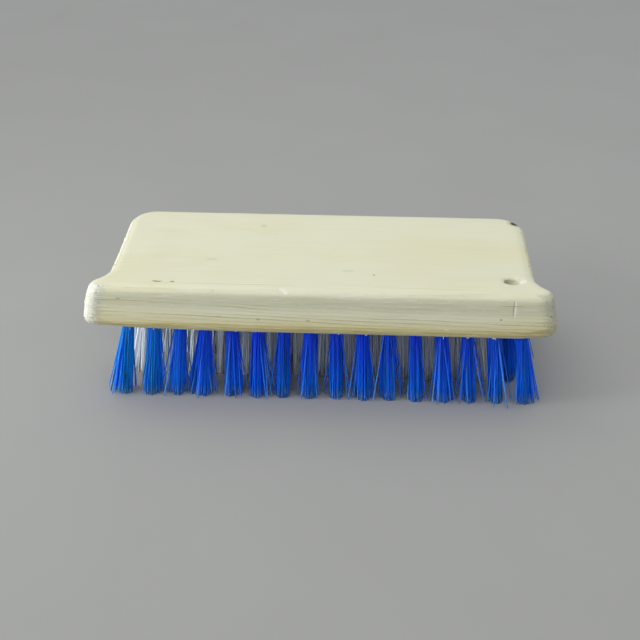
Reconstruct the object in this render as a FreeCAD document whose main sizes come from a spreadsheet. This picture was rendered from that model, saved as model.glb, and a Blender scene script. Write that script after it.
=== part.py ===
import FreeCAD, Part
import math
import os
import re
from dataclasses import dataclass

import Sketcher
from FreeCAD import Vector

# Scrub brush: a softwood block with five rows of filament tufts, each tuft folded over a flat
# wire anchor at the bottom of a drilled hole. The brush stands on its bristle tips at z = 0, its
# length runs along X and its front, with the flared corners, faces -Y.

doc = FreeCAD.newDocument("scrub_brush")
sizes = doc.addObject("Spreadsheet::Sheet", "Sizes")

# Driving dimensions, in millimetres, degrees and counts
DIMENSIONS = [
    ("block_length", 203.5, "over the flared front corners, where they are widest"),
    ("end_inset", 9.25, "straight ends, in from the flared corners"),
    ("flare_height", 6, "widest level of the flared corners, above the underside"),
    ("flare_lean", 3.2, "how far each flared corner draws in from there to the top"),
    ("block_width", 74, "front to back"),
    ("block_thickness", 23, "underside to top"),
    ("ear_radius", 5, "flared front corner, in plan"),
    ("sweep_radius", 13, "hollow behind the flared corner, in plan"),
    ("back_corner_radius", 12.5, "rounded back corner, in plan"),
    ("top_edge_radius", 4.7, "roundover of the top edge"),
    ("bottom_edge_radius", 4.5, "roundover of the bottom edge"),
    ("roundover_limit_share", 0.95, "largest roundover, as a share of the ear radius"),
    ("peg_hole_diameter", 5, "blind slanted hole for a hanging peg"),
    ("peg_hole_depth", 11, "along the hole, from the middle of its mouth"),
    ("peg_hole_slant", 50, "degrees from upright, open towards the right end"),
    ("peg_hole_end_inset", 18.75, "middle of the mouth to the right end"),
    ("peg_hole_front_inset", 12.8, "middle of the mouth to the front"),
    ("trim_height", 33, "bristle tips to the block's underside"),
    ("long_row_count", 16, "tufts in a long row, one more than in a short one"),
    ("row_end_setback", 7, "end hole centres of a long row to the straight end, if centred"),
    ("row_offset", 1.5, "middle of the rows, to the right of the block's middle"),
    ("outer_row_setback", 6.2, "outer hole centres to the front or back"),
    ("outer_lean", 6, "degrees that the outer rows lean outwards"),
    ("end_lean", 6.5, "degrees that the end tufts of a long row lean outwards along it"),
    ("tuft_hole_diameter", 5.6, "drilled hole"),
    ("tuft_hole_depth", 12, "along the hole"),
    ("tuft_tip_diameter", 7.6, "splayed tips at the trim plane"),
    ("tuft_clearance", 0.1, "tuft to hole, all round"),
    ("fold_bevel_share", 0.5, "rounding of the folded end, as a share of the tuft's radius"),
    ("fold_height", 2.2, "folded filaments beyond the anchor"),
    ("anchor_height", 1.6, "flat wire, along the hole"),
    ("anchor_thickness", 0.45, "flat wire, across the fold"),
    ("anchor_clearance", 0.05, "anchor to tuft and to hole wall"),
    ("overrun", 3, "how far a cut runs past its solid"),
]
for line, (alias, value, note) in enumerate(DIMENSIONS, start=1):
    sizes.set(f"A{line}", note)
    sizes.set(f"B{line}", str(value))
    sizes.setAlias(f"B{line}", alias)
doc.recompute()

ALIASES = {alias for alias, value, note in DIMENSIONS}

# Sizes that follow from the driving ones
HALF_WAIST = "(block_length / 2 - end_inset)"
ROW_REACH = f"({HALF_WAIST} - row_end_setback)"
TUFT_PITCH = f"(2 * {ROW_REACH} / (long_row_count - 1))"
OUTER_ROW = "(block_width / 2 - outer_row_setback)"
TUFT_RADIUS = "(tuft_hole_diameter / 2 - tuft_clearance)"
FOLDED_END = "(tuft_hole_depth - tuft_clearance)"
ANCHOR_TOP = f"({FOLDED_END} - fold_height)"
ANCHOR_LENGTH = "(tuft_hole_diameter - 2 * anchor_clearance - anchor_height * tan(end_lean))"
ANCHOR_REACH = f"({ROW_REACH} - ({ANCHOR_TOP} - anchor_height / 2) * tan(end_lean))"
ANCHOR_PITCH = f"({TUFT_PITCH} * {ANCHOR_REACH} / {ROW_REACH})"

ROW_NAMES = ("front", "second", "middle", "fourth", "back")
BLUE_ROWS = ("front", "back")


@dataclass
class Row:
    """A row of holes along X, with its place and lean from the middle as a share of the outer rows'."""

    name: str
    share: float
    short_by: int

    @property
    def count(self):
        """Number of holes: a short row stands in the gaps of its neighbours."""
        return f"(long_row_count - {self.short_by})"

    @property
    def back(self):
        """Place of the row along Y."""
        return f"({OUTER_ROW} * ({self.share}))"

    @property
    def lean(self):
        """Angle by which the tufts lean outwards from the row."""
        return f"(outer_lean * ({self.share}))"

    @property
    def frame(self):
        """Placement of the row on the underside, with Z up along holes that lean with it."""
        return turned_place(0, self.back, "trim_height", self.lean)

    def across(self, index, pitch=TUFT_PITCH):
        """Place of a hole along X, or of what stands in it at a pitch of its own."""
        return f"(row_offset + {pitch} * ({index} - ({self.count} - 1) / 2))"

    def fan(self, index):
        """Angle by which a tuft leans outwards along the row, in step with its place."""
        return f"(end_lean * ({self.across(index)} - row_offset) / {ROW_REACH})"


def cells(expression):
    """Turn the dimension names in an expression into cells of the sheet."""
    return re.sub(r"[a-z_]+", lambda word: cell(word.group()), expression)


def cell(word):
    """Give a dimension's cell, or the word itself where it names something else."""
    return f"Sizes.{word}" if word in ALIASES else word


def number(expression):
    """Work out an expression in dimension names."""
    return float(sizes.evalExpression(cells(expression)))


def bind(thing, **expressions):
    """Bind properties of an object to expressions in dimension names."""
    for name, expression in expressions.items():
        thing.setExpression(name, cells(expression))


def turned_place(across, back, up, turn, axis="1; 0; 0"):
    """Write a placement turned about an axis, X unless it is given, as an expression."""
    return f"placement(vector({across}; {back}; {up}); rotation(vector({axis}); {turn}))"


def origin_feature(body, role):
    """Find one of the body's own origin planes or axes."""
    return next(feature for feature in body.Origin.OriginFeatures if feature.Role == role)


def attach(thing, body, role):
    """Attach a sketch or a primitive to one of the body's own origin planes."""
    thing.AttachmentSupport = (origin_feature(body, role), [""])
    thing.MapMode = "FlatFace"


def attached_sketch(body, name, role):
    """Add a sketch on one of the body's own origin planes."""
    sketch = body.newObject("Sketcher::SketchObject", name)
    attach(sketch, body, role)
    return sketch


def dimension(sketch, expression, kind, *places):
    """Add a dimensional constraint driven by an expression."""
    index = sketch.addConstraint(Sketcher.Constraint(kind, *places, number(expression)))
    sketch.setExpression(f"Constraints[{index}]", cells(expression))


def polygon(sketch, corners):
    """Draw a closed polygon through corners given as pairs of expressions."""
    points = [Vector(number(x), number(y), 0) for x, y in corners]
    ends = points[1:] + points[:1]
    lines = [sketch.addGeometry(Part.LineSegment(*pair)) for pair in zip(points, ends)]
    for here, after in zip(lines, lines[1:] + lines[:1]):
        sketch.addConstraint(Sketcher.Constraint("Coincident", here, 2, after, 1))
    for line, (x, y) in zip(lines, corners):
        dimension(sketch, x, "DistanceX", -1, 1, line, 1)
        dimension(sketch, y, "DistanceY", -1, 1, line, 1)


def circle(sketch, x, y, diameter):
    """Draw a circle about a centre given as a pair of expressions."""
    centre = Vector(number(x), number(y), 0)
    ring = sketch.addGeometry(Part.Circle(centre, Vector(0, 0, 1), number(diameter) / 2))
    dimension(sketch, x, "DistanceX", -1, 1, ring, 3)
    dimension(sketch, y, "DistanceY", -1, 1, ring, 3)
    dimension(sketch, diameter, "Diameter", ring)


def draw_block_outline(sketch, drawn_in):
    """Draw a plan of the block: flared front corners, hollow sweeps, straight ends, round back corners."""
    half_length = f"(block_length / 2 - {drawn_in})"
    half, waist = number(half_length), number(HALF_WAIST)
    edge = number("block_width / 2")
    ear, sweep, corner = number("ear_radius"), number("sweep_radius"), number("back_corner_radius")
    turn = math.acos(1 - (half - waist) / (ear + sweep))
    sweep_y = ear - edge + (ear + sweep) * math.sin(turn)

    def arc(x, y, radius, start, end):
        ring = Part.Circle(Vector(x, y, 0), Vector(0, 0, 1), radius)
        return sketch.addGeometry(Part.ArcOfCircle(ring, start, end))

    def straight(*ends):
        return sketch.addGeometry(Part.LineSegment(*(Vector(x, y, 0) for x, y in ends)))

    quarter = math.pi / 2
    front = straight((ear - half, -edge), (half - ear, -edge))
    right_ear = arc(half - ear, ear - edge, ear, -quarter, turn)
    right_sweep = arc(waist + sweep, sweep_y, sweep, math.pi, math.pi + turn)
    right_end = straight((waist, sweep_y), (waist, edge - corner))
    right_corner = arc(waist - corner, edge - corner, corner, 0, quarter)
    back = straight((waist - corner, edge), (corner - waist, edge))
    left_corner = arc(corner - waist, edge - corner, corner, quarter, math.pi)
    left_end = straight((-waist, edge - corner), (-waist, sweep_y))
    left_sweep = arc(-waist - sweep, sweep_y, sweep, -turn, 0)
    left_ear = arc(ear - half, ear - edge, ear, math.pi - turn, math.pi + quarter)

    for here, here_end, after, after_end in (
        (front, 2, right_ear, 1),
        (right_ear, 2, right_sweep, 2),
        (right_sweep, 1, right_end, 1),
        (right_end, 2, right_corner, 1),
        (right_corner, 2, back, 1),
        (back, 2, left_corner, 1),
        (left_corner, 2, left_end, 1),
        (left_end, 2, left_sweep, 2),
        (left_sweep, 1, left_ear, 1),
        (left_ear, 2, front, 1),
    ):
        sketch.addConstraint(Sketcher.Constraint("Tangent", here, here_end, after, after_end))
    for line in (front, back):
        sketch.addConstraint(Sketcher.Constraint("Horizontal", line))
    for line in (right_end, left_end):
        sketch.addConstraint(Sketcher.Constraint("Vertical", line))
    for radius, arcs in (
        ("ear_radius", (right_ear, left_ear)),
        ("sweep_radius", (right_sweep, left_sweep)),
        ("back_corner_radius", (right_corner, left_corner)),
    ):
        for bend in arcs:
            dimension(sketch, radius, "Radius", bend)
    dimension(sketch, "-block_width / 2", "DistanceY", -1, 1, front, 1)
    dimension(sketch, "block_width / 2", "DistanceY", -1, 1, back, 1)
    dimension(sketch, HALF_WAIST, "DistanceX", -1, 1, right_end, 1)
    dimension(sketch, f"-{HALF_WAIST}", "DistanceX", -1, 1, left_end, 1)
    dimension(sketch, f"{half_length} - ear_radius", "DistanceX", -1, 1, right_ear, 3)
    dimension(sketch, f"ear_radius - {half_length}", "DistanceX", -1, 1, left_ear, 3)


def round_over(body, base, name, radius, level):
    """Round the edges of the flat face at a level of the body."""
    faces = base.Shape.Faces
    flat = min(range(len(faces)), key=lambda i: abs(faces[i].CenterOfMass.z - level))
    rounded = body.newObject("PartDesign::Fillet", name)
    rounded.Base = (base, [f"Face{flat + 1}"])
    bind(rounded, Radius=f"min({radius}; ear_radius * roundover_limit_share)")
    doc.recompute()
    return rounded


def make_drills(row):
    """Make the drills for a row's tuft holes, leaning with the row and fanned out along it."""
    start = turned_place(0, 0, "-overrun", 0)
    drills = []
    for index in range(round(number(row.count))):
        mouth = turned_place(row.across(index), 0, 0, f"-{row.fan(index)}", axis="0; 1; 0")
        drill = doc.addObject("Part::Cylinder", f"{row.name}_drill_{index + 1:02d}")
        bind(drill, Radius="tuft_hole_diameter / 2", Height="tuft_hole_depth + overrun",
             Placement=f"{row.frame} * {mouth} * {start}")
        drills.append(drill)
    return drills


def drill_peg_hole(body):
    """Drill the slanted peg hole into the top face."""
    start = "(peg_hole_diameter / 2 * tan(peg_hole_slant) + overrun)"
    mouth = attached_sketch(body, "peg_mouth", "XY_Plane")
    bind(mouth, AttachmentOffset=turned_place(
        f"block_length / 2 - peg_hole_end_inset + {start} * sin(peg_hole_slant)",
        "peg_hole_front_inset - block_width / 2",
        f"block_thickness + {start} * cos(peg_hole_slant)",
        "peg_hole_slant", axis="0; 1; 0"))
    circle(mouth, "0", "0", "peg_hole_diameter")
    hole = body.newObject("PartDesign::Pocket", "peg_hole")
    hole.Profile = mouth
    bind(hole, Length=f"peg_hole_depth + {start}")


def make_block(rows):
    """Make the softwood block with its peg hole and tuft holes."""
    body = doc.addObject("PartDesign::Body", "Blank")
    bind(body, Placement=turned_place(0, 0, "trim_height", 0))
    outlines = []
    for name, level, drawn_in in (
        ("underside_outline", "0", "0"),
        ("widest_outline", "flare_height", "0"),
        ("top_outline", "block_thickness", "flare_lean"),
    ):
        outline = attached_sketch(body, name, "XY_Plane")
        bind(outline, AttachmentOffset=turned_place(0, 0, level, 0))
        draw_block_outline(outline, drawn_in)
        outlines.append(outline)
    underside, widest, top = outlines
    foot = body.newObject("PartDesign::Pad", "foot")
    foot.Profile = underside
    bind(foot, Length="flare_height")
    plank = body.newObject("PartDesign::AdditiveLoft", "plank")
    plank.Profile = widest
    plank.Sections = [top]
    plank.Ruled = True
    doc.recompute()
    top_rounded = round_over(body, plank, "top_roundover", "top_edge_radius", number("block_thickness"))
    round_over(body, top_rounded, "bottom_roundover", "bottom_edge_radius", 0)
    drill_peg_hole(body)
    drills = doc.addObject("Part::Compound", "Drills")
    drills.Links = [drill for row in rows for drill in make_drills(row)]
    block = doc.addObject("Part::Cut", "Block")
    block.Label = "wooden_block"
    block.Base = body
    block.Tool = drills
    return block


def make_tufts(label, row, indices):
    """Make some of a row's tufts: folded shanks and splayed brushes, trimmed level."""
    reach = "(tuft_tip_diameter / 2 + overrun)"
    trim_in_front = f"-(trim_height - {reach} * sin({row.lean})) / cos({row.lean})"
    trim_behind = f"-(trim_height + {reach} * sin({row.lean})) / cos({row.lean})"
    untrimmed = "-(trim_height + 2 * overrun) / cos(outer_lean)"
    splay = f"((tuft_tip_diameter / 2 - {TUFT_RADIUS}) / trim_height)"
    bevel = f"{TUFT_RADIUS} * fold_bevel_share"
    slot = "(anchor_thickness / 2 + anchor_clearance)"
    slot_top = f"{ANCHOR_TOP} + anchor_clearance"
    slot_bottom = f"{ANCHOR_TOP} - anchor_height - anchor_clearance"

    body = doc.addObject("PartDesign::Body", label)
    body.Label = label
    bind(body, Placement=row.frame)
    for index in indices:
        name = f"{row.name}_{index + 1:02d}"
        profile = attached_sketch(body, f"{name}_profile", "XZ_Plane")
        bind(profile, AttachmentOffset=turned_place(
            row.across(index), 0, 0, row.fan(index), axis="0; 0; 1"))
        polygon(profile, [
            ("0", FOLDED_END),
            ("0", untrimmed),
            (f"{TUFT_RADIUS} - {splay} * ({untrimmed})", untrimmed),
            (TUFT_RADIUS, "0"),
            (TUFT_RADIUS, f"{FOLDED_END} - {bevel}"),
            (f"{TUFT_RADIUS} - {bevel}", FOLDED_END),
        ])
        bundle = body.newObject("PartDesign::Revolution", f"{name}_bundle")
        bundle.Profile = profile
        bundle.ReferenceAxis = (profile, ["V_Axis"])
        bundle.Angle = 360

    cuts = attached_sketch(body, f"{label}_cuts", "YZ_Plane")
    polygon(cuts, [
        (f"-{reach}", trim_in_front),
        (f"-{reach}", f"{untrimmed} - overrun"),
        (reach, f"{untrimmed} - overrun"),
        (reach, trim_behind),
    ])
    polygon(cuts, [
        (f"-{slot}", slot_top),
        (f"-{slot}", slot_bottom),
        (slot, slot_bottom),
        (slot, slot_top),
    ])
    trimmed = body.newObject("PartDesign::Pocket", f"{label}_trimmed")
    trimmed.Profile = cuts
    trimmed.Type = "ThroughAll"
    trimmed.SideType = "Symmetric"
    body.Tip = trimmed
    return body


def make_anchors(label, row):
    """Make a row's flat wire anchors, each standing across its hole inside the tuft's fold."""
    body = doc.addObject("PartDesign::Body", label)
    body.Label = label
    bind(body, Placement=row.frame)
    section = attached_sketch(body, f"{label}_section", "YZ_Plane")
    bind(section, AttachmentOffset=turned_place(0, 0, row.across(0, ANCHOR_PITCH), 0))
    polygon(section, [
        ("-anchor_thickness / 2", ANCHOR_TOP),
        ("-anchor_thickness / 2", f"{ANCHOR_TOP} - anchor_height"),
        ("anchor_thickness / 2", f"{ANCHOR_TOP} - anchor_height"),
        ("anchor_thickness / 2", ANCHOR_TOP),
    ])
    wire = body.newObject("PartDesign::Pad", f"{label}_wire")
    wire.Profile = section
    wire.SideType = "Symmetric"
    bind(wire, Length=ANCHOR_LENGTH)
    wires = body.newObject("PartDesign::LinearPattern", f"{label}_wires")
    wires.Originals = [wire]
    wires.Direction = (origin_feature(body, "X_Axis"), [""])
    bind(wires, Length=f"{ANCHOR_PITCH} * ({row.count} - 1)", Occurrences=row.count)
    body.Tip = wires
    return body


def make_row(row):
    """Make a row's pieces: anchors, then single blue tufts, or a white run with a blue right end."""
    count = round(number(row.count))
    anchors = make_anchors(f"{row.name}_row_anchors", row)
    if row.name in BLUE_ROWS:
        return [anchors] + [make_tufts(f"{row.name}_tuft_{i + 1:02d}", row, [i]) for i in range(count)]
    white = make_tufts(f"{row.name}_row_tufts", row, range(count - 1))
    blue_end = make_tufts(f"{row.name}_row_end_tuft", row, [count - 1])
    return [anchors, white, blue_end]


def check(nodes):
    """Stop if any object failed or any node's shape is missing or not valid."""
    for thing in doc.Objects:
        if {"Invalid", "Error"} & set(thing.State):
            raise RuntimeError(f"{thing.Label} failed: {thing.State}")
    for node in nodes:
        if node.Shape.isNull() or not node.Shape.isValid() or not node.Shape.Solids:
            raise RuntimeError(f"{node.Label} has no valid shape")


rows = [
    Row(name, share=2 * place / (len(ROW_NAMES) - 1) - 1, short_by=place % 2)
    for place, name in enumerate(ROW_NAMES)
]
nodes = [make_block(rows)]
for row in rows:
    nodes += make_row(row)
doc.recompute()
check(nodes)

os.makedirs("parts", exist_ok=True)
for node in nodes:
    node.Shape.exportStep(f"parts/{node.Label}.step")
    print(node.Label, len(node.Shape.Solids), round(node.Shape.Volume, 2))
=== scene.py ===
"""Scrub brush: a worn softwood block with rows of blue and white filament tufts, in a plain studio."""
import logging
import math
import random
from dataclasses import dataclass
from enum import Enum
from typing import Dict, Iterable, Iterator, List, Optional, Protocol, Sequence, Tuple, Union

import bmesh
import bpy
from mathutils import Color, Matrix, Vector, noise


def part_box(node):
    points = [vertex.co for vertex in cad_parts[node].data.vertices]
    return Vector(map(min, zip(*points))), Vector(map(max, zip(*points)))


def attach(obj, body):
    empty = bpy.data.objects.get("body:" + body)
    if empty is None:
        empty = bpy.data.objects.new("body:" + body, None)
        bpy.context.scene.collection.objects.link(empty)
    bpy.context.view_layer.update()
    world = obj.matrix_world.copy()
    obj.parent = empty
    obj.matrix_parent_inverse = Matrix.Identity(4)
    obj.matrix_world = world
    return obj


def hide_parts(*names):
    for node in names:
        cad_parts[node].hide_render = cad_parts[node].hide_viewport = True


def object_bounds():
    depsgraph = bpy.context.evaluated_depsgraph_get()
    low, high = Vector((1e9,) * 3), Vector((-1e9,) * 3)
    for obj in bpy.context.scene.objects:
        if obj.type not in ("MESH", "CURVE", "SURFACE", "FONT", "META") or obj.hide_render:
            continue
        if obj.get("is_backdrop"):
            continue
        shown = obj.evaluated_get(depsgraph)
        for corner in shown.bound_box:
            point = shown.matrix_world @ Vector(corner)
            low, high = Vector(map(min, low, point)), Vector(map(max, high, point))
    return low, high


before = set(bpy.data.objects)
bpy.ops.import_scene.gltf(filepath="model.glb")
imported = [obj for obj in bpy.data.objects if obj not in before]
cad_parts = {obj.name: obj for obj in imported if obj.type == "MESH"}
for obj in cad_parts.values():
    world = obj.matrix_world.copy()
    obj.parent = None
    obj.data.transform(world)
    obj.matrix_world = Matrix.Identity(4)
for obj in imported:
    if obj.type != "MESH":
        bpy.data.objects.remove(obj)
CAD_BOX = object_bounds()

LOG = logging.getLogger("scrub_brush")
BODY = "root"
MM = 0.001
SCREEN_WHITE = 255

Colour = Tuple[float, float, float, float]
Size = Tuple[float, float, float]
Span = Tuple[float, float]
Operand = Union["Signal", float]
Tint = Tuple["Signal", Colour]


def paint(red: int, green: int, blue: int) -> Colour:
    """Turn a screen colour, 0 to 255, into the linear colour that a shader takes.

    Args:
        red: Red share.
        green: Green share.
        blue: Blue share.

    Returns:
        The linear colour, opaque.
    """
    screen = Color([level / SCREEN_WHITE for level in (red, green, blue)])
    return (*screen.from_srgb_to_scene_linear(), 1.0)


class Signal:
    """An output socket of a material, whose arithmetic adds Math nodes."""

    def __init__(self, nodes: "Nodes", socket: bpy.types.NodeSocket) -> None:
        """Wrap a socket."""
        self.nodes = nodes
        self.socket = socket

    def __add__(self, other: Operand) -> "Signal":
        """Add."""
        return self.nodes.math("ADD", self, other)

    def __mul__(self, other: Operand) -> "Signal":
        """Multiply."""
        return self.nodes.math("MULTIPLY", self, other)

    __radd__ = __add__
    __rmul__ = __mul__

    def __sub__(self, other: Operand) -> "Signal":
        """Take a value away."""
        return self.nodes.math("SUBTRACT", self, other)

    def __rsub__(self, other: Operand) -> "Signal":
        """Take this away from a value."""
        return self.nodes.math("SUBTRACT", other, self)

    def __truediv__(self, other: Operand) -> "Signal":
        """Divide by a value."""
        return self.nodes.math("DIVIDE", self, other)

    def __pow__(self, other: Operand) -> "Signal":
        """Raise to a power."""
        return self.nodes.math("POWER", self, other)

    def __abs__(self) -> "Signal":
        """Drop the sign."""
        return self.nodes.math("ABSOLUTE", self)

    def fraction(self) -> "Signal":
        """Keep what is left after whole turns."""
        return self.nodes.math("FRACT", self)

    def least(self, other: Operand) -> "Signal":
        """Give the smaller of this and another value."""
        return self.nodes.math("MINIMUM", self, other)

    def most(self, other: Operand) -> "Signal":
        """Give the larger of this and another value."""
        return self.nodes.math("MAXIMUM", self, other)

    def rise(self, low: float, high: float) -> "Signal":
        """Climb smoothly from 0 to 1.

        Args:
            low: Value at which the climb starts.
            high: Value at which it ends.

        Returns:
            The climb.
        """
        return self.nodes.add(
            "MapRange", {"interpolation_type": "SMOOTHSTEP"},
            {"Value": self, "From Min": low, "From Max": high})

    def fall(self, low: float, high: float) -> "Signal":
        """Drop smoothly from 1 at a low value to 0 at a high one."""
        return 1 - self.rise(low, high)

    def band(self, start: Span, stop: Span) -> "Signal":
        """Climb to 1 over a first span and drop to 0 over a later one."""
        return self.rise(*start) * self.fall(*stop)

    def lifted(self, bottom: float) -> "Signal":
        """Squeeze 0 to 1 into the range from a bottom value to 1."""
        return bottom + (1 - bottom) * self

    def sway(self, width: float) -> "Signal":
        """Turn 0 to 1 into a swing to both sides of 0, of a width in all."""
        return width * (self - 0.5)


class Nodes:
    """The node tree of one material."""

    MIX_FACTOR, MIX_FIRST, MIX_SECOND, MIX_COLOUR = 0, 6, 7, 2
    FINE = 3.0
    SPOT_CORE = 0.45

    def __init__(self, name: str) -> None:
        """Start a material with its own shader.

        Args:
            name: The material's name.
        """
        self.material = bpy.data.materials.new(name)
        self.material.use_nodes = True
        self.tree = self.material.node_tree
        self.shader = self.tree.nodes["Principled BSDF"]

    def feed(self, socket: bpy.types.NodeSocket, value: object) -> None:
        """Link a signal to a socket, or set a plain value on it.

        Args:
            socket: The socket to feed.
            value: The signal or the value.
        """
        if isinstance(value, Signal):
            self.tree.links.new(value.socket, socket)
        else:
            socket.default_value = value

    def add(self, kind: str, settings: Optional[Dict[str, object]] = None,
            inputs: Optional[Dict[object, object]] = None, output: object = 0) -> Signal:
        """Add a node.

        Args:
            kind: The node's type, without ShaderNode.
            settings: Its properties, which are set first.
            inputs: Values or signals for its sockets, by name or number.
            output: The socket that is wanted, by name or number.

        Returns:
            The output as a signal.
        """
        node = self.tree.nodes.new(f"ShaderNode{kind}")
        for name, value in (settings or {}).items():
            setattr(node, name, value)
        for name, value in (inputs or {}).items():
            self.feed(node.inputs[name], value)
        return Signal(self, node.outputs[output])

    def math(self, operation: str, *operands: Operand) -> Signal:
        """Add a Math node over values or signals."""
        return self.add("Math", {"operation": operation}, dict(enumerate(operands)))

    def mix(self, factor: Operand, first: object, second: object) -> Signal:
        """Blend two colours.

        Args:
            factor: Share of the second colour, 0 to 1.
            first: The first colour.
            second: The second colour.

        Returns:
            The blend.
        """
        return self.add(
            "Mix", {"data_type": "RGBA"},
            {self.MIX_FACTOR: factor, self.MIX_FIRST: first, self.MIX_SECOND: second},
            self.MIX_COLOUR)

    def layered(self, base: Colour, tints: Iterable[Tint]) -> Signal:
        """Lay tints over a colour.

        Args:
            base: The colour under them.
            tints: Each share that shows, with its tint, lowest first.

        Returns:
            The colour with its tints.
        """
        colour = base
        for share, tint in tints:
            colour = self.mix(share, colour, tint)
        return colour

    def place(self) -> Signal:
        """Give the place on the object, in millimetres."""
        metres = self.add("TexCoord", output="Object")
        return self.add("VectorMath", {"operation": "SCALE"}, {0: metres, "Scale": 1 / MM})

    def facing(self) -> Signal:
        """Give the way that the surface faces."""
        return self.add("TexCoord", output="Normal")

    def axes(self, vector: Signal) -> List[Signal]:
        """Split a vector into its three parts."""
        return [self.add("SeparateXYZ", inputs={0: vector}, output=axis) for axis in "XYZ"]

    def shifted(self, vector: Signal, centre: Sequence[float], sizes: Sequence[float]) -> Signal:
        """Measure a vector from a centre, in sizes of its own along each axis."""
        away = self.add("VectorMath", {"operation": "SUBTRACT"}, {0: vector, 1: centre})
        return self.add("VectorMath", {"operation": "DIVIDE"}, {0: away, 1: sizes})

    def cloud(self, vector: Signal, sizes: Sequence[float], detail: float = 2.0) -> Signal:
        """Give a soft noise, 0 to 1, whose blobs have a size along each axis."""
        local = self.shifted(vector, (0, 0, 0), sizes)
        return self.add("TexNoise", inputs={"Vector": local, "Scale": 1.0, "Detail": detail})

    def dots(self, vector: Signal, size: float) -> Signal:
        """Give the distance to the nearest of many scattered points, in cells of a size."""
        return self.add("TexVoronoi", inputs={"Vector": vector, "Scale": 1 / size})

    def blob(self, vector: Signal, centre: Sequence[float], radii: Sequence[float]) -> Signal:
        """Make a soft spot.

        Args:
            vector: The place on the object.
            centre: Middle of the spot.
            radii: Its reach along each axis.

        Returns:
            The spot, 1 in its core and 0 outside its radii.
        """
        local = self.shifted(vector, centre, radii)
        away = self.add("VectorMath", {"operation": "LENGTH"}, {0: local}, "Value")
        return away.fall(self.SPOT_CORE, 1.0)

    def finish(self, height: Optional[Signal] = None, relief: float = 0.0,
               **sockets: object) -> bpy.types.Material:
        """Feed the shader and give the material.

        Args:
            height: Relief of the surface, 0 to 1, if it has any.
            relief: Depth of that relief, in metres.
            sockets: Values or signals of the shader, with underscores for spaces in their names.

        Returns:
            The finished material.
        """
        if height is not None:
            bump = self.add("Bump", inputs={"Strength": 1.0, "Distance": relief, "Height": height})
            self.feed(self.shader.inputs["Normal"], bump)
        for name, value in sockets.items():
            self.feed(self.shader.inputs[name.replace("_", " ")], value)
        return self.material


@dataclass(frozen=True)
class Dent:
    """A hollow in the wood, or a swelling where its depth is negative; sizes in millimetres."""

    centre: Size
    radii: Size
    depth: float

    def cut(self, point: Vector) -> float:
        """Measure the hollow at a point.

        Args:
            point: The place on the block.

        Returns:
            The depth there.
        """
        if abs(point.x - self.centre[0]) >= self.radii[0]:
            return 0.0
        away = Vector([(p - c) / r for p, c, r in zip(point, self.centre, self.radii)])
        return self.depth * max(0.0, 1 - away.length_squared) ** 2


@dataclass(frozen=True)
class Mark(Dent):
    """A mark of wear, a painted shade or a painted highlight: a dent, shallow or none, with a colour
    of its own.
    """

    colour: Colour
    strength: float


# Dark of cracks, also painted as shade beside a nick and in the hanging hole.
CRACK_AND_SHADE = paint(92, 84, 58)
# Pale torn wood, also painted as a highlight on the lip of the hanging hole.
TORN_AND_HIGHLIGHT = paint(242, 240, 226)
BRUISE = paint(172, 168, 126)
# Painted shade of the line where the top roundover starts.
EDGE_SHADE_LINE = paint(176, 168, 124)
BARK = paint(40, 30, 20)

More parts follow.
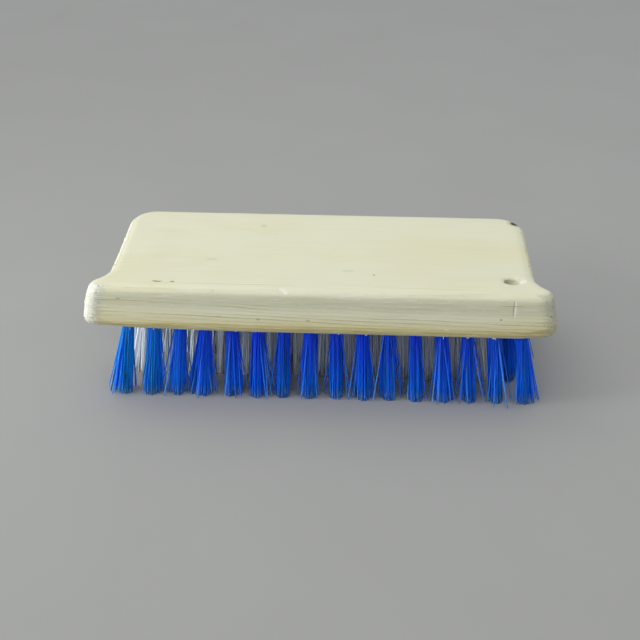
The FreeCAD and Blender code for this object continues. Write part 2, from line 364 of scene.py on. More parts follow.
MARKS = (
    # Painted shade lines along the start of the top front roundover, over a shallow groove.
    Mark((-44.0, -32.4, 56.0), (46.0, 0.3, 1.2), 0.1, EDGE_SHADE_LINE, 0.4),
    Mark((46.0, -32.5, 56.0), (34.0, 0.3, 1.2), 0.1, EDGE_SHADE_LINE, 0.25),
    Mark((-69.4, -31.0, 56.0), (3.0, 0.45, 1.5), 0.6, CRACK_AND_SHADE, 0.95),
    Mark((-62.9, -31.0, 56.0), (1.3, 0.45, 1.5), 0.5, CRACK_AND_SHADE, 0.9),
    Mark((-16.4, -34.7, 55.4), (1.4, 0.9, 0.8), 0.4, TORN_AND_HIGHLIGHT, 0.9),
    Mark((-15.4, -35.3, 54.9), (1.4, 0.9, 0.8), 0.5, TORN_AND_HIGHLIGHT, 1.0),
    Mark((-14.6, -35.8, 54.4), (1.2, 0.8, 0.8), 0.4, TORN_AND_HIGHLIGHT, 0.8),
    Mark((-85.9, -37.0, 50.2), (1.4, 1.0, 0.5), 0.2, BRUISE, 0.9),
    Mark((-26.3, -37.0, 41.4), (1.1, 1.0, 0.7), 0.3, BRUISE, 0.9),
    Mark((-4.9, -37.0, 41.3), (1.4, 1.0, 0.6), 0.2, BRUISE, 0.7),
    Mark((76.9, -37.0, 44.2), (0.6, 1.0, 0.6), 0.3, CRACK_AND_SHADE, 0.65),
    # Painted shade: a dark line down the left wall of the nick on the front, with no dent of its own.
    Mark((81.7, -37.0, 49.8), (0.4, 1.5, 5.6), 0.0, CRACK_AND_SHADE, 0.4),
    Mark((82.4, -37.0, 49.6), (0.6, 1.5, 5.8), 0.5, TORN_AND_HIGHLIGHT, 0.8),
    Mark((81.3, -37.0, 51.0), (7.0, 1.0, 0.4), 0.1, BRUISE, 0.7),
    Mark((54.3, -36.8, 38.5), (1.5, 1.5, 0.45), 0.3, TORN_AND_HIGHLIGHT, 0.45),
    # Painted highlight on the right lip of the hanging hole, and painted shade on its dark left side
    # below.
    Mark((86.0, -24.2, 55.6), (2.4, 2.0, 1.8), 0.0, TORN_AND_HIGHLIGHT, 0.9),
    Mark((80.4, -24.2, 53.6), (1.6, 2.4, 1.8), 0.0, CRACK_AND_SHADE, 0.6),
    Mark((-91.0, 6.4, 55.2), (1.6, 2.2, 1.8), 0.5, TORN_AND_HIGHLIGHT, 0.8),
    Mark((88.2, 29.4, 55.4), (5.0, 5.2, 3.0), 0.1, BRUISE, 0.5),
    Mark((88.0, 29.2, 55.6), (2.6, 2.9, 2.0), 0.3, BARK, 1.0),
    Mark((22.8, -21.9, 56.0), (0.8, 0.8, 1.0), 0.2, BRUISE, 0.9),
    Mark((-28.5, 21.0, 56.0), (2.2, 2.0, 1.0), 0.0, BRUISE, 0.25),
    Mark((-48.6, -11.3, 56.0), (3.6, 1.4, 1.0), 0.0, BRUISE, 0.2),
    Mark((11.6, -19.0, 56.0), (4.0, 1.0, 1.0), 0.0, BRUISE, 0.25),
)

SANDING = (
    Dent((-98.0, -34.0, 33.0), (20.0, 12.0, 6.5), 0.9),
    Dent((-95.0, -34.0, 33.0), (60.0, 12.0, 6.5), 0.7),
    Dent((98.0, -34.0, 34.5), (14.0, 13.0, 6.5), 0.8),
    Dent((-102.0, -33.0, 46.0), (9.0, 13.0, 12.0), -1.1),
    Dent((-102.0, -33.0, 37.0), (5.0, 13.0, 6.0), -0.9),
)


class Grain:
    """The signals that the colour and relief of a softwood are made from."""

    def __init__(self, nodes: Nodes, wood: "Softwood") -> None:
        """Work the signals out.

        Args:
            nodes: The material's nodes.
            wood: The softwood, which gives the sizes.
        """
        self.place = nodes.place()
        self.x, self.y, self.z = nodes.axes(self.place)
        self.end_way, _, self.up_way = nodes.axes(nodes.facing())
        self.side = self.up_way.fall(*wood.top_turn)
        self.streaks = nodes.cloud(self.place, wood.streak_size, nodes.FINE)
        self.fibres = nodes.cloud(self.place, wood.fibre_size)
        self.tears = nodes.cloud(self.place, wood.tear_size)
        self.blotches = nodes.cloud(self.place, wood.blotch_size)
        self.lumps = nodes.cloud(self.place, wood.lump_size, nodes.FINE)
        self.fuzz = nodes.cloud(self.place, wood.fuzz_size, nodes.FINE)
        self.rings = wood.rings(nodes, self)

        overhang = wood.top_flare * (self.z - wood.flare_height).most(0.0)
        self.outward = abs(self.x) + overhang + self.fibres.sway(wood.end_fray)
        corner = 0.8 * self.outward.rise(*wood.end_span)
        self.end = abs(self.end_way).rise(*wood.end_turn).most(corner) * self.side
        self.pores = nodes.dots(self.place, wood.pore_gap).fall(*wood.pore_radii) * self.end


@dataclass(frozen=True)
class Softwood:
    """Pale planed softwood with growth rings, open end grain and marks of wear.

    The sizes and places are in millimetres, the relief in metres.
    """

    pith: Span = (5.0, -100.0)
    heart_reach: float = 155.8
    ring_gap: float = 1.75
    sapwood_gap: float = 6.0
    ring_slope: float = 0.036
    ring_offset: float = 100.0
    ring_fade: Span = (47.0, 54.0)
    waver: float = 2.6
    waver_size: Size = (70.0, 26.0, 26.0)
    jitter: float = 1.1
    jitter_size: Size = (30.0, 1.6, 1.6)
    patch_size: Size = (40.0, 3.0, 3.0)

    streak_size: Size = (45.0, 1.1, 1.1)
    fibre_size: Size = (12.0, 0.5, 0.5)
    tear_size: Size = (4.0, 0.9, 0.9)
    blotch_size: Size = (60.0, 22.0, 22.0)
    lump_size: Size = (0.9, 0.9, 0.9)
    fuzz_size: Size = (0.55, 0.55, 0.55)
    pore_gap: float = 1.9
    pore_radii: Span = (0.08, 0.26)

    top_turn: Span = (0.85, 0.99)
    upper_turn: Span = (0.25, 0.7)
    under_turn: Span = (-0.75, -0.4)
    end_turn: Span = (0.15, 0.6)
    right_turn: Span = (0.05, 0.7)

    heart_top: float = 38.9
    heart_fade: Span = (-0.8, 0.0)
    heart_fray: float = 1.2
    heart_drop: float = 0.25
    heart_drop_start: float = 90.0
    bright_start: Span = (-0.2, 0.3)
    bright_stop: Span = (0.5, 1.2)
    low_fade: Span = (-0.4, 6.1)
    upper_side_span: Span = (44.0, 49.0)

    end_span: Span = (93.5, 98.0)
    end_fray: float = 12.0
    top_flare: float = 0.35
    flare_height: float = 45.0
    # The next three spans place the painted shade on the right end of the block.
    right_shade_span: Span = (88.0, 97.0)
    corner_span: Span = (94.0, 98.5)
    right_half: Span = (0.0, 1.0)
    # The next two spans place the pale fur of the end grain and the painted light on the left end.
    fur_and_light_span: Span = (-90.0, -80.0)
    fur_and_light_front: Span = (-28.0, -14.0)

    early: Colour = paint(229, 227, 199)
    sunned: Colour = paint(226, 221, 180)
    late: Colour = paint(182, 169, 108)
    heart: Colour = paint(202, 191, 126)
    heart_line: Colour = paint(154, 138, 86)
    low_front: Colour = paint(208, 199, 150)
    upper_side_grey: Colour = paint(206, 204, 176)
    bright_ring: Colour = paint(228, 217, 160)
    # Painted shade colour for the right end and its corner.
    right_end_shade: Colour = paint(146, 144, 124)
    open_grain: Colour = paint(234, 235, 226)
    pore: Colour = paint(96, 88, 64)
    relief: float = 0.25 * MM

    def rings(self, nodes: Nodes, grain: Grain) -> Signal:
        """Draw the dark latewood lines, which wave about a distant pith.

        Args:
            nodes: The material's nodes.
            grain: The grain, as far as its places.

        Returns:
            The lines, 0 to 1.
        """
        waver = nodes.cloud(grain.place, self.waver_size).sway(self.waver)
        jitter = nodes.cloud(grain.place, self.jitter_size, nodes.FINE).sway(self.jitter)
        across = grain.y - self.pith[0]
        up = grain.z + self.ring_slope * grain.x + waver - self.pith[1]
        reach = (across * across + up * up) ** 0.5 + jitter - self.heart_reach
        turns = reach.least(0.0) / self.ring_gap + reach.most(0.0) / self.sapwood_gap
        season = (turns + self.ring_offset).fraction()
        patchy = nodes.cloud(grain.place, self.patch_size).rise(0.4, 0.64).lifted(0.2)
        return season.band((0.55, 0.86), (0.9, 1.0)) * patchy

    def board_tints(self, grain: Grain) -> Iterator[Tint]:
        """Tint the board by its height: sun, a greyer upper part of the sides, low front and
        heartwood.

        Args:
            grain: The grain's signals.

        Returns:
            Each share with its tint, lowest first.
        """
        drop = self.heart_drop * (abs(grain.x) - self.heart_drop_start).most(0.0)
        edge = grain.z - drop + grain.streaks.sway(self.heart_fray) - self.heart_top
        heart = edge.fall(*self.heart_fade) * grain.up_way.rise(*self.under_turn)
        # Greyer and darker on the upper part of the faces that turn sideways, and on their roundovers.
        upper_side = grain.z.rise(*self.upper_side_span) * grain.up_way.fall(*self.upper_turn)
        yield grain.blotches.rise(0.42, 0.66) * 0.5, self.sunned
        yield upper_side * 0.8, self.upper_side_grey
        yield edge.fall(*self.low_fade) * grain.side * 0.6, self.low_front
        yield edge.band(self.bright_start, self.bright_stop) * grain.side * 0.5, self.bright_ring
        yield heart * 0.8, self.heart
        yield heart * grain.streaks.rise(0.46, 0.62) * 0.5, self.heart_line

    def grain_tints(self, grain: Grain) -> Iterator[Tint]:
        """Tint the grain: rings, streaks, fibres and tears, all fainter on the flat top.

        Args:
            grain: The grain's signals.

        Returns:
            Each share with its tint, lowest first.
        """
        side = grain.side
        yield grain.rings * (0.04 + 0.66 * side * grain.z.fall(*self.ring_fade)), self.late
        yield grain.streaks.rise(0.5, 0.7) * (0.06 + 0.12 * side), self.late
        yield grain.fibres.rise(0.52, 0.72) * (0.08 + 0.3 * side), self.open_grain
        yield grain.tears.rise(0.6, 0.76) * side * 0.24, self.late
        yield grain.tears.fall(0.26, 0.4) * side * 0.3, self.open_grain

    def end_tints(self, grain: Grain) -> Iterator[Tint]:
        """Tint the ends: painted shade on the right one, pale fur of the end grain with painted light
        mostly on the left one, pores on both.

        Args:
            grain: The grain's signals.

        Returns:
            Each share with its tint, lowest first.
        """
        # Painted shade: the right end and its corner are greyed and darkened, broken up by lumps,
        # where less light falls.
        greyed = grain.end_way.rise(*self.right_turn) * grain.x.rise(*self.right_shade_span)
        corner = 0.7 * grain.outward.rise(*self.corner_span) * grain.x.rise(*self.right_half)
        right_shade = greyed.most(corner) * grain.side * grain.lumps.rise(0.3, 0.6).lifted(0.4)
        # Pale fur of the open end grain, faint on the right end and strong at the front of the left
        # end, where it is partly painted light.
        left = grain.x.fall(*self.fur_and_light_span).lifted(0.15)
        near = grain.y.fall(*self.fur_and_light_front).lifted(0.3)
        fur_and_left_light = grain.end * left * near
        yield right_shade * 0.75, self.right_end_shade
        yield fur_and_left_light * grain.lumps.rise(0.3, 0.5), self.open_grain
        yield fur_and_left_light * grain.fuzz.rise(0.5, 0.66) * 0.5, self.late
        yield grain.pores * 0.8, self.pore

    def mark_tints(self, nodes: Nodes, grain: Grain) -> Iterator[Tint]:
        """Tint the marks of wear, and among them the painted shade and painted highlight marks.

        Args:
            nodes: The material's nodes.
            grain: The grain's signals.

        Returns:
            Each share with its tint, lowest first.
        """
        for mark in MARKS:
            yield nodes.blob(grain.place, mark.centre, mark.radii) * mark.strength, mark.colour

    def material(self) -> bpy.types.Material:
        """Make the material.

        Returns:
            The material.
        """
        nodes = Nodes("softwood")
        grain = Grain(nodes, self)
        tints = [*self.board_tints(grain), *self.grain_tints(grain)]
        tints += [*self.end_tints(grain), *self.mark_tints(nodes, grain)]
        lengthwise = 0.4 * grain.streaks + 0.35 * grain.fibres + 0.3 * grain.tears
        height = lengthwise * grain.side.lifted(0.3) - 0.25 * grain.rings
        height = height + grain.end * (1.2 * grain.lumps + 0.6 * grain.fuzz) - grain.pores
        roughness = 0.5 + 0.2 * grain.streaks + 0.15 * grain.end
        colour = nodes.layered(self.early, tints)
        return nodes.finish(height, self.relief, Base_Color=colour, Roughness=roughness)


@dataclass(frozen=True)
class Filament:
    """Drawn plastic filament, with painted shade darkening it towards the root in the depth of the
    tuft, painted light on the tufts at the row ends, and paler tips where they are worn.

    The places along the brush are in millimetres, the depths in metres.
    """

    name: str
    slot: str
    root: Colour
    tip: Colour
    end_light: Colour
    loose: Colour
    worn: Colour
    roughness: float = 0.34
    root_height: float = 33.0
    # Where the painted light on the end tufts fades out along the brush.
    left_end: Span = (-84.0, -48.0)
    right_end: Span = (55.0, 90.0)
    scuff_size: Size = (0.5, 0.5, 3.0)
    scuff_depth: float = 0.02 * MM
    shine: float = 0.22
    clearness: float = 0.9 * MM

    def material(self) -> bpy.types.Material:
        """Make the material.

        Returns:
            The material.
        """
        nodes = Nodes(self.name)
        place = nodes.place()
        x, _, height = nodes.axes(place)
        tone = nodes.add("Attribute", {"attribute_name": Tuft.TONE}, output="Fac")
        scuffs = nodes.cloud(place, self.scuff_size)
        along = 1 - height / self.root_height
        # Painted shade: the filament is darker towards its root, where the block shades the tuft, and
        # paler towards the tips.
        colour = nodes.layered(self.root, (
            (along.rise(0.0, 1.1), self.tip),
            # Painted light: the tufts at the ends of the rows, most of all at the left end, are made
            # paler where light passes through them.
            (x.fall(*self.left_end) * 0.85, self.end_light),
            (x.rise(*self.right_end) * 0.22, self.end_light),
            (tone.rise(0.2, 0.8) * 0.3, self.tip),
            (tone.rise(0.78, 1.0) * (0.1 + 0.5 * along), self.loose),
            (along.rise(0.8, 1.0) * scuffs.rise(0.38, 0.66) * 0.6, self.worn),
        ))
        return nodes.finish(
            scuffs, self.scuff_depth, Base_Color=colour, Roughness=self.roughness + 0.2 * scuffs,
            Specular_IOR_Level=self.shine, Subsurface_Weight=1.0,
            Subsurface_Radius=(1.0, 1.0, 1.0), Subsurface_Scale=self.clearness)


@dataclass(frozen=True)
class TornWood:
    """Fresh slivers of the softwood, paler than its planed faces.

    The fibre size is in millimetres, the relief in metres.
    """

    pale: Colour = paint(238, 234, 214)
    grey: Colour = paint(206, 198, 164)
    fibre_size: Size = (0.8, 0.8, 0.8)
    relief: float = 0.1 * MM

    def material(self) -> bpy.types.Material:
        """Make the material.

        Returns:
            The material.
        """
        nodes = Nodes("torn_wood")
        fibres = nodes.cloud(nodes.place(), self.fibre_size, nodes.FINE)
        colour = nodes.mix(fibres.rise(0.4, 0.65), self.pale, self.grey)
        return nodes.finish(fibres, self.relief, Base_Color=colour, Roughness=0.6 + 0.2 * fibres)


@dataclass(frozen=True)
class AnchorWire:
    """Flat drawn wire with fine lengthwise scratches.

    The scratch size is in millimetres, the relief in metres.
    """

    bright: Colour = paint(196, 192, 182)
    dull: Colour = paint(138, 132, 120)
    scratch_size: Size = (2.5, 0.1, 0.1)
    relief: float = 0.02 * MM

    def material(self) -> bpy.types.Material:
        """Make the material.

        Returns:
            The material.
        """
        nodes = Nodes("anchor_wire")
        scratches = nodes.cloud(nodes.place(), self.scratch_size)
        colour = nodes.mix(scratches, self.bright, self.dull)
        roughness = 0.25 + 0.3 * scratches
        return nodes.finish(
            scratches, self.relief, Base_Color=colour, Roughness=roughness, Metallic=1.0)


@dataclass(frozen=True)
class PaleFloor:
    """Plain pale floor with a barely seen mottle, whose size is in millimetres."""

    light: Colour = paint(170, 170, 167)
    dark: Colour = paint(165, 165, 162)
    mottle_size: Size = (60.0, 60.0, 60.0)
    shine: float = 0.1

    def material(self) -> bpy.types.Material:
        """Make the material.

        Returns:
            The material.
        """
        nodes = Nodes("pale_floor")
        mottle = nodes.cloud(nodes.place(), self.mottle_size, nodes.FINE)
        colour = nodes.mix(mottle, self.light, self.dark)
        roughness = 0.6 + 0.1 * mottle
        return nodes.finish(Base_Color=colour, Roughness=roughness, Specular_IOR_Level=self.shine)


class Hue(Enum):
    """The two filaments of the brush."""

    # Root colours are darker than tip colours as painted shade, and the palest blue is painted light
    # for the end tufts.
    BLUE = Filament(
        "blue_filament", "blue_bristle", root=paint(8, 50, 222), tip=paint(8, 104, 244),
        end_light=paint(4, 130, 255), loose=paint(96, 172, 244), worn=paint(150, 198, 240))
    WHITE = Filament(
        "white_filament", "white_bristle", root=paint(222, 240, 255), tip=paint(232, 245, 255),
        end_light=paint(236, 248, 255), loose=paint(244, 250, 255), worn=paint(246, 250, 252))


class Finish(Protocol):
    """Anything that can make a material."""

    def material(self) -> bpy.types.Material:
        """Make the material."""


class Dresser:
    """Makes each finish once and puts it on pieces."""

    def __init__(self) -> None:
        """Start with no material made."""
        self.made: Dict[Finish, bpy.types.Material] = {}

    def dress(self, piece: bpy.types.Object, finish: Finish) -> None:
        """Put a finish on every material slot of a piece.

        Args:
            piece: The piece.
            finish: Its finish.
        """
        if finish not in self.made:
            self.made[finish] = finish.material()
        material = self.made[finish]
        if not piece.material_slots:
            piece.data.materials.append(material)
        for slot in piece.material_slots:
            slot.material = material


def mesh_of(name: str, form: bmesh.types.BMesh) -> bpy.types.Mesh:
    """Turn a bmesh into a mesh.

    Args:
        name: The mesh's name.
        form: Its shape, which is freed.

    Returns:
        The mesh.
    """
    mesh = bpy.data.meshes.new(name)
    form.to_mesh(mesh)
    form.free()
    return mesh


def new_piece(name: str, form: bmesh.types.BMesh) -> bpy.types.Object:
    """Turn a bmesh into an object in the scene.

    Args:
        name: The object's name.
        form: Its shape, which is freed.

    Returns:
        The object, at the origin.
    """
    piece = bpy.data.objects.new(name, mesh_of(name, form))
    bpy.context.scene.collection.objects.link(piece)
    return piece


@dataclass(frozen=True)
class Strand:
    """The course of one filament, as offsets from its tuft's axis; sizes in metres."""

    root: Vector
    spread: Vector
    loose: Vector
    bow: Vector
    drop: float
    tone: float


@dataclass
class Tuft:
    """One bundle of filaments, from inside its hole down to the trimmed tips; sizes in metres."""

    TONE = "tone"

    mouth: Vector
    lean: float
    swing: float
    fan: float
    dice: random.Random
    count: int = 170
    sunk: float = 7.5 * MM
    root_radius: float = 2.56 * MM
    tip_radii: Span = (2.6 * MM, 3.4 * MM)
    flare: float = 1.05
    looseness: float = 0.1 * MM
    unevenness: float = 0.2 * MM
    bow: float = 0.2 * MM
    fan_power: float = 5.0
    short_by: float = 1.6 * MM
    stray_share: float = 0.05
    stray_reach: float = 5.0 * MM
    stray_reach_shares: Span = (0.3, 1.0)
    stray_across_share: float = 0.25
    stray_wander: float = 0.2
    stray_flare: float = 1.0
    stray_tone: float = 0.8

    def spots(self) -> Iterator[Vector]:
        """Spread places evenly over a disc of radius 1.

        Returns:
            Each filament's place.
        """
        golden = math.pi * (3 - math.sqrt(5))
        for index in range(self.count):
            reach = math.sqrt((index + 0.5) / self.count)
            angle = index * golden
            yield Vector((reach * math.cos(angle), reach * math.sin(angle)))

    def wander(self, size: float) -> Vector:
        """Draw a sideways offset."""
        return Vector((self.dice.gauss(0, size), self.dice.gauss(0, size)))

    def stray(self, spot: Vector) -> Vector:
        """Draw how far a loose tip strays, mostly along the row and away from the tuft's middle.

        Args:
            spot: The filament's place on the disc.

        Returns:
            The tip's offset.
        """
        outward = Vector((spot.x, self.stray_across_share * spot.y))
        outward += self.stray_wander * self.wander(1.0)
        return outward.normalized() * self.dice.uniform(*self.stray_reach_shares) * self.stray_reach

    def strand(self, spot: Vector, tip_radius: float) -> Strand:
        """Draw the course of one filament.

        Args:
            spot: Its place on the disc.
            tip_radius: Radius of the tuft at its tips.

        Returns:
            The course.
        """
        root = spot * self.root_radius + self.wander(self.looseness)
        spread = spot * (tip_radius - self.root_radius) + self.wander(self.unevenness)
        fanned = max(0.0, math.copysign(spot.x, self.fan * spot.x)) ** self.fan_power
        loose = Vector((self.fan * fanned, 0.0))
        tone = self.dice.random() * self.stray_tone
        if self.dice.random() < self.stray_share:
            loose += self.stray(spot)
            tone = self.dice.uniform(self.stray_tone, 1.0)
        bow = self.wander(self.bow)
        drop = self.mouth.z - self.dice.random() ** 2 * self.short_by
        drop -= loose.length_squared / (2 * self.mouth.z)
        return Strand(root, spread, loose, bow, drop, tone)

    def bent(self, point: Vector, strand: Strand, slant: Vector) -> Vector:
        """Move a point of the straight filament to its place in the tuft.

        Args:
            point: The point, with its height as a share of the free length.
            strand: The filament's course.
            slant: The tuft's lean along and across the row, for each metre up.

        Returns:
            The place.
        """
        along = -point.z
        free = max(0.0, along)
        low = -strand.drop * free if along >= 0 else self.sunk * -along
        bend = strand.root + strand.spread * free ** self.flare
        bend += strand.loose * free ** self.stray_flare
        bend += strand.bow * math.sin(math.pi * free) - slant * low
        return self.mouth + Vector((point.x + bend.x, point.y + bend.y, low))

    def grow(self, template: bpy.types.Mesh) -> bpy.types.Mesh:
        """Make the tuft's filaments.

        Args:
            template: A straight filament, of unit length below its root.

        Returns:
            The tuft's mesh.
        """
        form = bmesh.new()
        tone_layer = form.verts.layers.float.new(self.TONE)
        slant = Vector((math.tan(self.swing), math.tan(self.lean)))
        tip_radius = self.dice.uniform(*self.tip_radii)
        for spot in self.spots():
            strand = self.strand(spot, tip_radius)
            start = len(form.verts)
            form.from_mesh(template)
            form.verts.ensure_lookup_table()
            for vertex in form.verts[start:]:
                vertex.co = self.bent(vertex.co, strand, slant)
                vertex[tone_layer] = strand.tone
        return mesh_of("tuft", form)


@dataclass
class BristleRow:
    """A row of tufts, as the nodes of the frame divide it; sizes in metres."""

    name: str
    share: float
    count: int
    underside: float
    middle: float = 1.5 * MM
    pitch: float = 11.4 * MM
    reach: float = 85.5 * MM
    outer_reach: float = 30.8 * MM
    outer_lean: float = math.radians(6)
    end_lean: float = math.radians(6.5)
    end_fan: float = 5.0 * MM
    loose_fan: float = 2.6 * MM
    filament_radius: float = 0.26 * MM
    sides: int = 5
    spans: int = 4

    def mouth(self, index: int) -> Vector:
        """Give the middle of a hole's mouth."""
        along = self.middle + self.pitch * (index - (self.count - 1) / 2)
        return Vector((along, self.outer_reach * self.share, self.underside))

    def tuft(self, index: int) -> Tuft:
        """Plan a tuft, which fans out along the row, most of all at the row's ends.

        Args:
            index: The tuft's number in the row.

        Returns:
            The tuft.
        """
        dice = random.Random(f"{self.name} {index}")
        fan = dice.gauss(0, self.loose_fan)
        if index == 0:
            fan = -self.end_fan
        elif index == self.count - 1:
            fan = self.end_fan
        mouth = self.mouth(index)
        swing = self.end_lean * (mouth.x - self.middle) / self.reach
        return Tuft(mouth, self.outer_lean * self.share, swing, fan, dice)

    def template(self) -> bpy.types.Mesh:
        """Make one straight filament: a span up to 1 in the hole, and even spans from 0 down to -1.

        Returns:
            The filament's mesh.
        """
        form = bmesh.new()
        bmesh.ops.create_cone(
            form, cap_ends=True, segments=self.sides, radius1=self.filament_radius,
            radius2=self.filament_radius, depth=1)
        top = max(vertex.co.z for vertex in form.verts)
        upright = [edge for edge in form.edges if edge.verts[0].co.z != edge.verts[1].co.z]
        bmesh.ops.subdivide_edges(form, edges=upright, cuts=self.spans, use_grid_fill=True)
        for vertex in form.verts:
            level = round((top - vertex.co.z) * (self.spans + 1))
            vertex.co.z = (1 - level) / self.spans if level else 1.0
        for face in form.faces:
            face.smooth = len(face.verts) == 4
        form.verts.layers.float.new(Tuft.TONE)
        return mesh_of(f"{self.name}_filament", form)

    def piece(self, node: str, first: int, count: int, hue: Hue,
              dresser: Dresser) -> bpy.types.Object:
        """Make the tufts of one node.

        Args:
            node: The node that the piece stands for.
            first: Number of its first tuft in the row.
            count: How many tufts it has.
            hue: The filament's colour.
            dresser: What puts on its finish.

        Returns:
            The piece.
        """
        form = bmesh.new()
        form.verts.layers.float.new(Tuft.TONE)
        template = self.template()
        for index in range(first, first + count):
            tuft = self.tuft(index).grow(template)
            form.from_mesh(tuft)
            bpy.data.meshes.remove(tuft)
        bpy.data.meshes.remove(template)
        piece = new_piece(f"{node}_filaments", form)
        dresser.dress(piece, hue.value)
        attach(piece, BODY)
        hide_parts(node)
        return piece


@dataclass
class Bristles:
    """All rows of tufts and their hidden wire anchors."""

    ROWS = ("front", "second", "middle", "fourth", "back")
    OUTER = ("front", "back")

    long_count: int = 16

    def rows(self) -> Iterator[BristleRow]:
        """Place the rows by the frame, every other one with a tuft less.

        Returns:
            Each row, from the front.
        """
        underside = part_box("wooden_block")[0].z
        for place, name in enumerate(self.ROWS):
            share = 2 * place / (len(self.ROWS) - 1) - 1
            yield BristleRow(name, share, self.long_count - place % 2, underside)

    def build(self, dresser: Dresser) -> Iterator[bpy.types.Object]:
        """Make every row's tufts and dress its anchors.

        Args:
            dresser: What puts on the finishes.

        Returns:
            Each piece.
        """
        for row in self.rows():
            if row.name in self.OUTER:
                for index in range(row.count):
                    yield row.piece(f"{row.name}_tuft_{index + 1:02d}", index, 1, Hue.BLUE, dresser)
            else:
                yield row.piece(f"{row.name}_row_tufts", 0, row.count - 1, Hue.WHITE, dresser)
                yield row.piece(f"{row.name}_row_end_tuft", row.count - 1, 1, Hue.BLUE, dresser)
            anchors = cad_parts[f"{row.name}_row_anchors"]
            dresser.dress(anchors, AnchorWire())
            yield anchors


@dataclass
class Block:
    """The wooden block, a copy of its solid with the wear of use carved into it; sizes in metres."""

    node: str = "wooden_block"
    weld: float = 0.001 * MM
    voxel: float = 0.85 * MM
    smoothing: float = 0.5
    waviness: float = 0.12 * MM
    wave_size: float = 14 * MM
    end_turn: float = 0.3
    end_gain: float = 1.4
    end_roughness: float = 0.2 * MM
    lump_size: float = 1.6 * MM
    lump_decay: float = 1.0
    lump_step: float = 2.0
    lump_octaves: int = 2

    def remeshed(self) -> bmesh.types.BMesh:
        """Copy the solid onto an even net of small faces.

        Returns:
            The net.
        """
        form = bmesh.new()
        form.from_mesh(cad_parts[self.node].data)
        bmesh.ops.remove_doubles(form, verts=form.verts, dist=self.weld)
        rough = new_piece("block_blank", form)
        remesh = rough.modifiers.new("even_net", "REMESH")
        remesh.mode = "VOXEL"
        remesh.voxel_size = self.voxel
        evaluated = rough.evaluated_get(bpy.context.evaluated_depsgraph_get())
        net = bmesh.new()
        net.from_mesh(evaluated.to_mesh())
        bpy.data.objects.remove(rough)
        bmesh.ops.smooth_vert(
            net, verts=net.verts, factor=self.smoothing,
            use_axis_x=True, use_axis_y=True, use_axis_z=True)
        return net

    def wear(self, point: Vector, facing: Vector) -> float:
        """Measure how far the wood stands out from the solid.

        Args:
            point: The place on the solid.
            facing: The way that the solid faces there.

        Returns:
            The distance, negative in a hollow.
        """
        waves = self.waviness * noise.noise(point / self.wave_size)
        ends = max(0.0, abs(facing.x) - self.end_turn) * self.end_gain * self.end_roughness
        lumps = ends * noise.fractal(
            point / self.lump_size, self.lump_decay, self.lump_step, self.lump_octaves)
        spot = point / MM
        cuts = sum(dent.cut(spot) for dent in SANDING) + max(mark.cut(spot) for mark in MARKS)
        return waves + lumps - MM * cuts

    def build(self, dresser: Dresser) -> Iterator[bpy.types.Object]:
        """Make the carved block.

        Args:
            dresser: What puts on its finish.

        Returns:
            The block alone.
        """
        form = self.remeshed()
        form.normal_update()
        moves = [vertex.normal * self.wear(vertex.co, vertex.normal) for vertex in form.verts]
        for vertex, move in zip(form.verts, moves):
            vertex.co += move
        for face in form.faces:
            face.smooth = True
        piece = new_piece("worn_block", form)
        dresser.dress(piece, Softwood())
        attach(piece, BODY)
        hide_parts(self.node)
        yield piece


@dataclass
class Burrs:
    """Slivers of wood torn up round the mouths of the drilled holes; sizes in metres."""

    hole_radius: float = 2.9 * MM
    half_width: float = 37.0 * MM
    edge_radius: float = 4.5 * MM
    most: int = 6
    lengths: Span = (0.6 * MM, 2.0 * MM)
    widths: Span = (0.6 * MM, 2.2 * MM)
    flatness: float = 0.35
    foot_share: float = 0.5
    point_share: float = 0.12
    hang_share: float = 0.3
    sway_along: float = 0.5
    sway_across: float = 0.3
    inward: float = 0.3
    sides: int = 4

    def seat(self, place: Vector) -> float:
        """Give how far the block's underside curves up at a place near its front or back."""
        over = max(0.0, abs(place.y) - self.half_width + self.edge_radius)
        return self.edge_radius - math.sqrt(self.edge_radius ** 2 - over ** 2)

    def tear(self, form: bmesh.types.BMesh, mouth: Vector, dice: random.Random) -> None:
        """Add one sliver at the rim of a mouth, hanging from the wood.

        Args:
            form: The shape that takes the sliver.
            mouth: Middle of the hole's mouth.
            dice: What draws its place and size.
        """
        angle = dice.uniform(0, 2 * math.pi)
        rim = Vector((math.cos(angle), math.sin(angle), 0))
        foot = mouth + rim * self.hole_radius
        foot.z += self.seat(foot)
        length = dice.uniform(*self.lengths)
        way = Vector((dice.gauss(0, self.sway_along), dice.gauss(0, self.sway_across), -1))
        way -= self.inward * rim
        turn = way.to_track_quat("Z", "Y").to_matrix().to_4x4()
        width = dice.uniform(*self.widths)
        shape = Matrix.Diagonal((width, width * self.flatness, 1, 1))
        middle = Matrix.Translation(foot + way.normalized() * length * self.hang_share)
        bmesh.ops.create_cone(
            form, cap_ends=True, segments=self.sides, radius1=self.foot_share,
            radius2=self.point_share, depth=length,
            matrix=middle @ turn @ Matrix.Rotation(angle, 4, "Z") @ shape)

    def build(self, dresser: Dresser) -> Iterator[bpy.types.Object]:
        """Make the slivers of all rows as one piece.

        Args:
            dresser: What puts on its finish.

        Returns:
            The slivers alone.
        """
        form = bmesh.new()
        for row in Bristles().rows():
            for index in range(row.count):
                dice = random.Random(f"{row.name} burr {index}")
                for _ in range(dice.randint(1, self.most)):
                    self.tear(form, row.mouth(index), dice)
        piece = new_piece("mouth_burrs", form)
        dresser.dress(piece, TornWood())
        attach(piece, BODY)
        yield piece


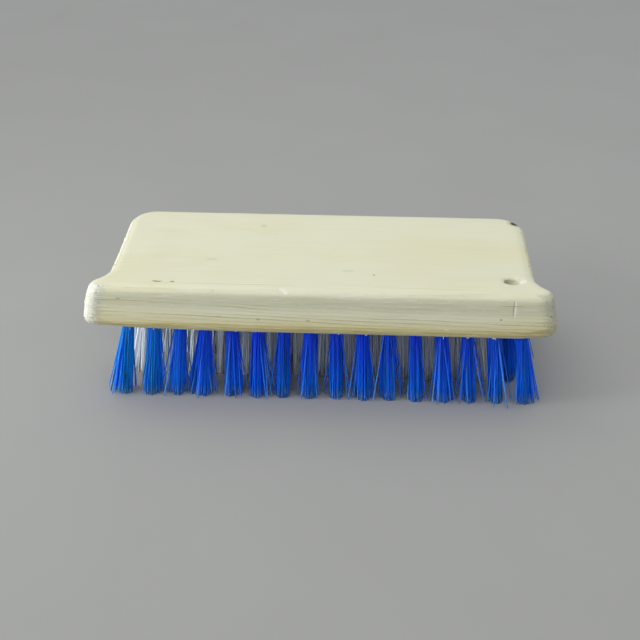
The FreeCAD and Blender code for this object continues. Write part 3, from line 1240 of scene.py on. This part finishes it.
@dataclass(frozen=True)
class Lamp:
    """A soft square lamp that faces the brush; sizes in metres, power in watts, beam in degrees."""

    name: str
    place: Size
    size: float
    power: float
    colour: Colour
    beam: float = 180

    def hang(self) -> None:
        """Hang the lamp in its place."""
        light = bpy.data.lights.new(self.name, "AREA")
        light.size = self.size
        light.spread = math.radians(self.beam)
        light.energy = self.power
        light.color = self.colour[:3]
        holder = bpy.data.objects.new(self.name, light)
        holder.location = self.place
        holder.rotation_euler = (-Vector(self.place)).to_track_quat("-Z", "Y").to_euler()
        bpy.context.scene.collection.objects.link(holder)


@dataclass
class Studio:
    """Floor, light and camera; sizes in metres, angles in degrees, picture sizes in pixels."""

    lamps: Tuple[Lamp, ...] = (
        Lamp("ceiling", (-0.4, 0.1, 1.1), size=0.9, power=2.8, colour=paint(255, 252, 246)),
        Lamp("window", (-0.9, -0.2, 0.16), size=0.28, power=0.5, colour=paint(252, 254, 255), beam=50),
        Lamp("fill", (-0.1, -1.15, 0.5), size=1.0, power=1.0, colour=paint(255, 255, 255)),
    )
    floor_size: float = 3.0
    frame_size: int = 640
    focal_pixels: float = 1105
    sensor: float = 36
    distance: float = 514.8 * MM
    nearest: float = 10 * MM
    elevation: float = 32.46
    swing: float = 2.70
    target: Size = (-1.47 * MM, 0.0, 18.40 * MM)
    sky: Colour = paint(248, 251, 255)
    sky_strength: float = 0.70

    def build(self, dresser: Dresser) -> None:
        """Set the stage.

        Args:
            dresser: What puts on the floor's finish.
        """
        self.lay_floor(dresser)
        self.light_sky()
        for lamp in self.lamps:
            lamp.hang()
        self.set_camera()

    def lay_floor(self, dresser: Dresser) -> None:
        """Lay the floor under the bristle tips.

        Args:
            dresser: What puts on its finish.
        """
        form = bmesh.new()
        bmesh.ops.create_grid(form, x_segments=1, y_segments=1, size=self.floor_size)
        floor = new_piece("floor", form)
        dresser.dress(floor, PaleFloor())
        floor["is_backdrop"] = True

    def light_sky(self) -> None:
        """Light the scene evenly from all round."""
        world = bpy.data.worlds.new("soft_sky")
        world.use_nodes = True
        background = world.node_tree.nodes["Background"]
        background.inputs["Color"].default_value = self.sky
        background.inputs["Strength"].default_value = self.sky_strength
        bpy.context.scene.world = world

    def set_camera(self) -> None:
        """Look at the brush from the photograph's side."""
        lift, swing = math.radians(self.elevation), math.radians(self.swing)
        back = Vector((
            math.sin(swing) * math.cos(lift), -math.cos(swing) * math.cos(lift), math.sin(lift)))
        lens = bpy.data.cameras.new("camera")
        lens.sensor_width = self.sensor
        lens.lens = self.sensor * self.focal_pixels / self.frame_size
        lens.clip_start = self.nearest
        camera = bpy.data.objects.new("camera", lens)
        camera.location = Vector(self.target) + back * self.distance
        camera.rotation_euler = (-back).to_track_quat("-Z", "Y").to_euler()
        bpy.context.scene.collection.objects.link(camera)
        bpy.context.scene.camera = camera
        bpy.context.scene.view_settings.view_transform = "Standard"


def write_sizes() -> None:
    """Work out the boxes of the solids and of the dressed brush side by side, without keeping them."""
    boxes = {"cad": CAD_BOX, "visual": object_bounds()}
    {name: [list(corner) for corner in box] for name, box in boxes.items()}


def main() -> None:
    """Build the brush and its studio in order."""
    logging.basicConfig(level=logging.INFO, format="%(message)s")
    dresser = Dresser()
    for part in (Block(), Bristles(), Burrs()):
        for piece in part.build(dresser):
            LOG.info("%s: %d faces", piece.name, len(piece.data.polygons))
    Studio().build(dresser)
    write_sizes()


if __name__ == "__main__":
    main()
